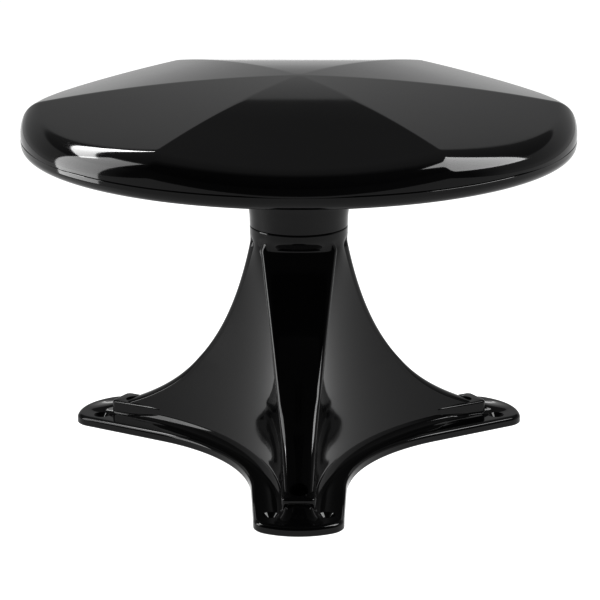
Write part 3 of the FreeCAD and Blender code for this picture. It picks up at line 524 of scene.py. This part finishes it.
# ribs between the bearing tube and the insides of the legs, in millimetres
RIB_HALF = 1.2
RIB_START = 16.0
RIB_LEAST_REACH = 18.0
RIB_GAP = 3.2
RIB_LOW, RIB_HIGH = 30.0, 112.0
RIB_STEPS = 14

# screw holes and the bearing tube, in metres
SCREW_HOLE = 0.0026
HOLE_LOW, HOLE_HIGH = -0.001, 0.02
NOSE_HOLE_REACH = 0.116
NOSE_SINK = (0.0052, 0.0054, 0.0075, 0.03)
PAD_HOLE_REACH = 0.130
PAD_HOLE_ACROSS = 0.0155
PAD_SINK = (SCREW_HOLE, 0.0050, 0.0033, 0.0057)
TUBE_BORE, TUBE_RADIUS = 0.014, 0.0175
TUBE_LOW, TUBE_HIGH = 0.030, 0.141
TUBE_SEGMENTS = 96
MOUNT_SHARP = 28.0


def whole_ring(half, height):
    """All three legs from one half outline: mirrored across each leg and turned to the others."""
    ring = []
    for angle in sorted(LEGS):
        for along, across in reversed(half[1:-1]):
            ring.append(Vector((*polar(along, -across, angle), height)) * MM)
        for along, across in half:
            ring.append(Vector((*polar(along, across, angle), height)) * MM)
    return ring


def mount_rings():
    """Rings from the neck's top, down outside, round the flange and up the hollow."""
    top = NECK_TOP / MM
    rings = [whole_ring(star_half(top - down, inset), top - down)
             for down, inset in NECK_EDGE]
    heights = spaced(NECK_RINGS, top - NECK_START, NECK_LAST)
    heights += spaced(FIN_RINGS, FIN_FIRST, FLANGE + WEB_FILLET)
    rings += [whole_ring(star_half(height, 0.0), height) for height in heights]
    # the fillet down onto the flange
    for step in range(1, ROUND_STEPS + 1):
        turn = math.pi / 2 * step / ROUND_STEPS
        height = FLANGE + WEB_FILLET * (1 - math.sin(turn))
        half = outset(star_half(height, 0.0), WEB_FILLET * (1 - math.cos(turn)))
        rings.append(whole_ring(half, height))
    # the flange's top, rounded edge, side and underside
    root = outset(star_half(FLANGE, 0.0), WEB_FILLET)
    rim = flange_half(FLANGE_ROUND)
    rings += [whole_ring(mixed_half(root, rim, share), FLANGE)
              for share in (0.25, 0.5, 0.75, 1.0)]
    for step in range(1, ROUND_STEPS + 1):
        turn = math.pi / 2 * step / ROUND_STEPS
        rings.append(whole_ring(flange_half(FLANGE_ROUND * (1 - math.sin(turn))),
                                FLANGE - FLANGE_ROUND * (1 - math.cos(turn))))
    foot = flange_half(FLANGE_CHAMFER)
    rings += [whole_ring(flange_half(0.0), FLANGE_CHAMFER), whole_ring(foot, 0.0)]
    hollow = star_half(0.0, MOUNT_WALL, INNER_REACH)
    rings += [whole_ring(mixed_half(foot, hollow, share), 0.0) for share in (0.35, 0.7, 1.0)]
    rings += [whole_ring(star_half(height, MOUNT_WALL, INNER_REACH), height)
              for height in spaced(HOLLOW_RINGS, HOLLOW_BOTTOM, HOLLOW_TOP)]
    return rings


def nose(angle):
    """The flat-topped screw boss at a leg's foot, rounded at its front corners and top edge."""
    path = []
    for across, first in ((NOSE_CORNER - NOSE_HALF, 270.0), (NOSE_HALF - NOSE_CORNER, 0.0)):
        path += [(NOSE_END - NOSE_CORNER, across, first + 90.0 * step / ROUND_STEPS)
                 for step in range(ROUND_STEPS + 1)]

    def ring(shrink, height):
        radius = NOSE_CORNER - shrink
        points = [(along + radius * math.cos(math.radians(turn)),
                   across + radius * math.sin(math.radians(turn)))
                  for along, across, turn in path]
        points += [(NOSE_START, NOSE_HALF - shrink), (NOSE_START, -(NOSE_HALF - shrink))]
        return [Vector((*polar(along, across, angle), height)) * MM for along, across in points]

    rings = [ring(-spread, height) for spread, height in NOSE_FOOT]
    for step in range(NOSE_EDGE_STEPS + 1):
        turn = math.pi / 2 * step / NOSE_EDGE_STEPS
        rings.append(ring(NOSE_EDGE * (1 - math.cos(turn)),
                          NOSE_TOP - NOSE_EDGE * (1 - math.sin(turn))))
    return skin(rings)


def rib(angle):
    """A stiffening rib between the bearing tube and the inside of a leg."""
    heights = spaced(RIB_STEPS, RIB_LOW, RIB_HIGH)
    line = [(RIB_START, heights[0])]
    for height in heights:
        reach = min(fin_reach(height), INNER_REACH) - RIB_GAP
        line.append((max(reach, RIB_LEAST_REACH), height))
    line.append((RIB_START, heights[-1]))
    return skin([[Vector((*polar(along, side, angle), height)) * MM for along, height in line]
                 for side in (-RIB_HALF, RIB_HALF)])


def pedestal():
    """The whole hollow mount: fins, flange, noses, ribs and bearing tube, with its holes."""
    data = as_data(skin(mount_rings()), "mount")
    noses = [("nose_%d" % index, nose(angle)) for index, angle in enumerate(LEGS)]
    data = boolean(data, noses, "UNION")
    holes = []
    for index, angle in enumerate(LEGS):
        at = polar(NOSE_HOLE_REACH, 0.0, angle)
        holes.append(("nose_hole_%d" % index,
                      drum(SCREW_HOLE, SCREW_HOLE, HOLE_LOW, HOLE_HIGH, at)))
        holes.append(("nose_sink_%d" % index, drum(*NOSE_SINK, at)))
        for side in (-1, 1):
            at = polar(PAD_HOLE_REACH, side * PAD_HOLE_ACROSS, angle)
            name = "pad_%d_%d" % (index, side)
            holes.append((name + "_hole", drum(SCREW_HOLE, SCREW_HOLE, HOLE_LOW, HOLE_HIGH, at)))
            holes.append((name + "_sink", drum(*PAD_SINK, at)))
    data = boolean(data, holes, "DIFFERENCE")
    whole = bmesh.new()
    whole.from_mesh(data)
    add_mesh(whole, lathe([(TUBE_BORE, TUBE_LOW), (TUBE_RADIUS, TUBE_LOW),
                           (TUBE_RADIUS, TUBE_HIGH), (TUBE_BORE, TUBE_HIGH)], TUBE_SEGMENTS))
    for angle in LEGS:
        add_mesh(whole, rib(angle))
    return smoothed(as_data(whole, "mount"), MOUNT_SHARP)


# ---------------------------------------------------------------- materials

IOR = 1.5
RELIEF_DEPTH = 0.0002
# the roughness noise is coarser than the colour noise by this share
UNEVEN_SHARE = 0.35


def grey(value):
    return (value, value, value, 1.0)


def new_material(name):
    material = bpy.data.materials.new(name)
    material.use_nodes = True
    nodes = material.node_tree.nodes
    return material, nodes, material.node_tree.links, nodes["Principled BSDF"]


def noise(nodes, links, scale, detail, stretch=(1.0, 1.0, 1.0)):
    coordinates = nodes.new("ShaderNodeTexCoord")
    mapping = nodes.new("ShaderNodeMapping")
    mapping.inputs["Scale"].default_value = stretch
    texture = nodes.new("ShaderNodeTexNoise")
    texture.inputs["Scale"].default_value = scale
    texture.inputs["Detail"].default_value = detail
    links.new(coordinates.outputs["Object"], mapping.inputs["Vector"])
    links.new(mapping.outputs["Vector"], texture.inputs["Vector"])
    return texture.outputs["Fac"]


def ramp(nodes, links, source, low, high, start=0.35, end=0.65):
    """Map a noise to values or colours between two stops."""
    ramped = nodes.new("ShaderNodeValToRGB")
    stops = ramped.color_ramp.elements
    stops[0].position, stops[1].position = start, end
    stops[0].color, stops[1].color = low, high
    links.new(source, ramped.inputs["Fac"])
    return ramped.outputs["Color"]


def bump(nodes, links, source, strength, distance, shader):
    node = nodes.new("ShaderNodeBump")
    node.inputs["Strength"].default_value = strength
    node.inputs["Distance"].default_value = distance
    links.new(source, node.inputs["Height"])
    links.new(node.outputs["Normal"], shader.inputs["Normal"])


def surface(name, dark, light, rough, metallic=0.0, scale=120.0, relief=0.05,
            stretch=(1.0, 1.0, 1.0)):
    """A procedural surface: mottled colour, uneven roughness and fine relief from noises."""
    material, nodes, links, shader = new_material(name)
    mottled = noise(nodes, links, scale, 6.0, stretch)
    uneven = noise(nodes, links, scale * UNEVEN_SHARE, 3.0, stretch)
    links.new(ramp(nodes, links, mottled, (*dark, 1.0), (*light, 1.0)),
              shader.inputs["Base Color"])
    links.new(ramp(nodes, links, uneven, grey(rough[0]), grey(rough[1])),
              shader.inputs["Roughness"])
    bump(nodes, links, mottled, relief, RELIEF_DEPTH, shader)
    shader.inputs["Metallic"].default_value = metallic
    shader.inputs["IOR"].default_value = IOR
    return material


def gloss_black():
    """Polished black moulding: near-mirror gloss with faint waviness, haze and scratches."""
    material, nodes, links, shader = new_material("gloss_black_moulding")
    tint = noise(nodes, links, 9.0, 4.0)
    links.new(ramp(nodes, links, tint, (0.0045, 0.0045, 0.0050, 1.0),
                   (0.0075, 0.0075, 0.0080, 1.0)), shader.inputs["Base Color"])
    haze = noise(nodes, links, 14.0, 5.0)
    scratches = noise(nodes, links, 260.0, 2.0, (1.0, 9.0, 3.0))
    mixer = nodes.new("ShaderNodeMix")
    mixer.data_type = "RGBA"
    mixer.blend_type = "ADD"
    mixer.inputs["Factor"].default_value = 1.0
    links.new(ramp(nodes, links, haze, grey(0.045), grey(0.085)), mixer.inputs["A"])
    links.new(ramp(nodes, links, scratches, grey(0.0), grey(0.025), 0.62, 0.74),
              mixer.inputs["B"])
    links.new(mixer.outputs["Result"], shader.inputs["Roughness"])
    bump(nodes, links, haze, 0.05, 0.0004, shader)
    shader.inputs["IOR"].default_value = IOR
    return material


def cad_finishes():
    """The surface of each material slot that only CAD nodes use."""
    return {
        "gasket_rubber": surface("gasket_foam_rubber", (0.010, 0.010, 0.010),
                                 (0.030, 0.030, 0.031), (0.6, 0.85), scale=400.0, relief=0.3),
        "bush_acetal": surface("bush_acetal_white", (0.60, 0.59, 0.54), (0.74, 0.73, 0.68),
                               (0.35, 0.5)),
        "steel": surface("stainless_steel", (0.46, 0.46, 0.47), (0.62, 0.62, 0.63),
                         (0.2, 0.4), 1.0, scale=300.0, stretch=(1, 1, 8)),
        "spindle_alloy": surface("turned_aluminium", (0.60, 0.61, 0.62), (0.74, 0.75, 0.76),
                                 (0.22, 0.38), 1.0, scale=220.0, stretch=(1, 1, 14),
                                 relief=0.1),
        "element_sheet": surface("stamped_aluminium", (0.66, 0.67, 0.68), (0.80, 0.81, 0.82),
                                 (0.25, 0.42), 1.0, scale=180.0, stretch=(12, 1, 1)),
        "tray_plastic": surface("tray_grey_plastic", (0.17, 0.17, 0.18), (0.24, 0.24, 0.25),
                                (0.45, 0.62), scale=500.0, relief=0.15),
        "board_laminate": surface("solder_mask_green", (0.006, 0.075, 0.022),
                                  (0.012, 0.115, 0.036), (0.25, 0.4)),
        "tin_plate": surface("tin_plate", (0.52, 0.52, 0.50), (0.68, 0.68, 0.66),
                             (0.2, 0.35), 1.0),
        "socket_nickel": surface("nickel_plate", (0.58, 0.55, 0.50), (0.70, 0.67, 0.61),
                                 (0.12, 0.25), 1.0),
        "lead_jacket": surface("lead_jacket_black", (0.012, 0.012, 0.012),
                               (0.022, 0.022, 0.022), (0.4, 0.55), scale=350.0),
        "vent_plastic": surface("vent_dark_plastic", (0.020, 0.020, 0.021),
                                (0.034, 0.034, 0.035), (0.5, 0.65)),
    }


def give(node, material):
    """Put one material in every slot of a CAD node's object."""
    piece = frame["nodes"][node]
    for slot in piece.material_slots:
        slot.material = material
    if not piece.material_slots:
        piece.data.materials.append(material)


def dress_cad_nodes():
    finishes = cad_finishes()
    for part in frame["record"]["subparts"]:
        if part["material_slot"] in finishes:
            give(part["node"], finishes[part["material_slot"]])


# ---------------------------------------------------------------- stage, lights and camera

FLOOR_HALF = 2.1
FLOOR_ALBEDO = 0.30
FLOOR_ROUGHNESS = 0.9
FLOOR_GLOW = 1.0

# studio surround: brightness against the sine of the elevation
SKY = ((0.0, 0.75), (0.03, 0.70), (0.09, 0.62), (0.396, 0.58), (0.404, 0.19), (0.50, 0.20),
       (0.62, 0.26), (0.95, 0.50))
# the surround dims to this share of itself towards -Y, in front of the object
FRONT_SHARE = 0.12
DIM_FROM, DIM_TO = -0.25, 0.05

# points on the dome's shoulders that the lights are aimed at
LEFT_SHOULDER = (-0.107, -0.117, 0.20)
RIGHT_SHOULDER = (0.100, -0.125, 0.20)
# name, aimed at, azimuth, elevation, width and height in degrees, distance, radiance
SOFTBOXES = (
    ("left_softbox", LEFT_SHOULDER, -77.0, 13.0, 31.0, 60.0, 0.42, 5.6),
    ("left_strip", LEFT_SHOULDER, -38.0, 34.0, 44.0, 8.5, 0.41, 9.5),
    ("right_softbox", RIGHT_SHOULDER, 88.0, 40.0, 46.0, 42.0, 0.45, 8.6),
)

SENSOR = 36.0
LENS = 176.36
CAMERA_PLACE = (0.00067, -1.65963, 0.55226)
CAMERA_DIP = 15.488
GAMMA = 0.65


def floor():
    material, _, _, shader = new_material("studio_floor")
    shader.inputs["Base Color"].default_value = grey(FLOOR_ALBEDO)
    shader.inputs["Roughness"].default_value = FLOOR_ROUGHNESS
    shader.inputs["Emission Color"].default_value = grey(1.0)
    shader.inputs["Emission Strength"].default_value = FLOOR_GLOW
    half = FLOOR_HALF
    data = bpy.data.meshes.new("floor")
    data.from_pydata([(-half, -half, 0), (half, -half, 0), (half, half, 0), (-half, half, 0)],
                     [], [(0, 1, 2, 3)])
    data.materials.append(material)
    linked("floor", data)


def surround():
    """The world's light: banded by elevation and dimmed in front of the object."""
    world = bpy.data.worlds.new("studio")
    bpy.context.scene.world = world
    world.use_nodes = True
    nodes, links = world.node_tree.nodes, world.node_tree.links
    coordinates = nodes.new("ShaderNodeTexCoord")
    split = nodes.new("ShaderNodeSeparateXYZ")
    band = nodes.new("ShaderNodeValToRGB")
    links.new(coordinates.outputs["Generated"], split.inputs["Vector"])
    links.new(split.outputs["Z"], band.inputs["Fac"])
    stops = band.color_ramp.elements
    while len(stops) < len(SKY):
        stops.new(0.5)
    for stop, (position, value) in zip(stops, SKY):
        stop.position, stop.color = position, grey(value)
    front = nodes.new("ShaderNodeMapRange")
    front.inputs["From Min"].default_value = DIM_FROM
    front.inputs["From Max"].default_value = DIM_TO
    front.inputs["To Min"].default_value = FRONT_SHARE
    links.new(split.outputs["Y"], front.inputs["Value"])
    dim = nodes.new("ShaderNodeVectorMath")
    dim.operation = "SCALE"
    links.new(band.outputs["Color"], dim.inputs[0])
    links.new(front.outputs["Result"], dim.inputs["Scale"])
    links.new(dim.outputs["Vector"], nodes["Background"].inputs["Color"])
    nodes["Background"].inputs["Strength"].default_value = 1.0


def softbox(name, spot, azimuth, elevation, width, height, distance, radiance):
    """A rectangular light seen from a spot; azimuth from +Y towards +X."""
    data = bpy.data.lights.new(name, "AREA")
    data.shape = "RECTANGLE"
    data.size = 2 * distance * math.tan(math.radians(width / 2))
    data.size_y = 2 * distance * math.tan(math.radians(height / 2))
    data.energy = radiance * math.pi * data.size * data.size_y
    lamp = linked(name, data)
    turn, rise = math.radians(azimuth), math.radians(elevation)
    way = Vector((math.sin(turn) * math.cos(rise), math.cos(turn) * math.cos(rise),
                  math.sin(rise)))
    lamp.location = Vector(spot) + way * distance
    lamp.rotation_euler = (-way).to_track_quat("-Z", "Y").to_euler()
    lamp.visible_camera = False


def camera():
    data = bpy.data.cameras.new("camera")
    data.sensor_width = SENSOR
    data.lens = LENS
    piece = linked("camera", data)
    piece.location = CAMERA_PLACE
    piece.rotation_euler = (math.radians(90.0 - CAMERA_DIP), 0.0, 0.0)
    bpy.context.scene.camera = piece


def new_object(name, data, body, node):
    """A finished piece that rides on a body and stands for a CAD node."""
    piece = linked(name, data)
    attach(piece, body)
    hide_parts(node)


# ---------------------------------------------------------------- the scene

camera()
look = bpy.context.scene.view_settings
look.view_transform = "Standard"
look.gamma = GAMMA
floor()
surround()
for softbox_facts in SOFTBOXES:
    softbox(*softbox_facts)

black = gloss_black()
for build, name, body, node in ((upper_cover, "dome_shell", "dome", "upper_cover"),
                                (lower_cover, "dome_pan", "dome", "lower_cover"),
                                (pedestal, "mount_body", "mount", "pedestal")):
    data = build()
    data.materials.clear()
    data.materials.append(black)
    new_object(name, data, body, node)
dress_cad_nodes()
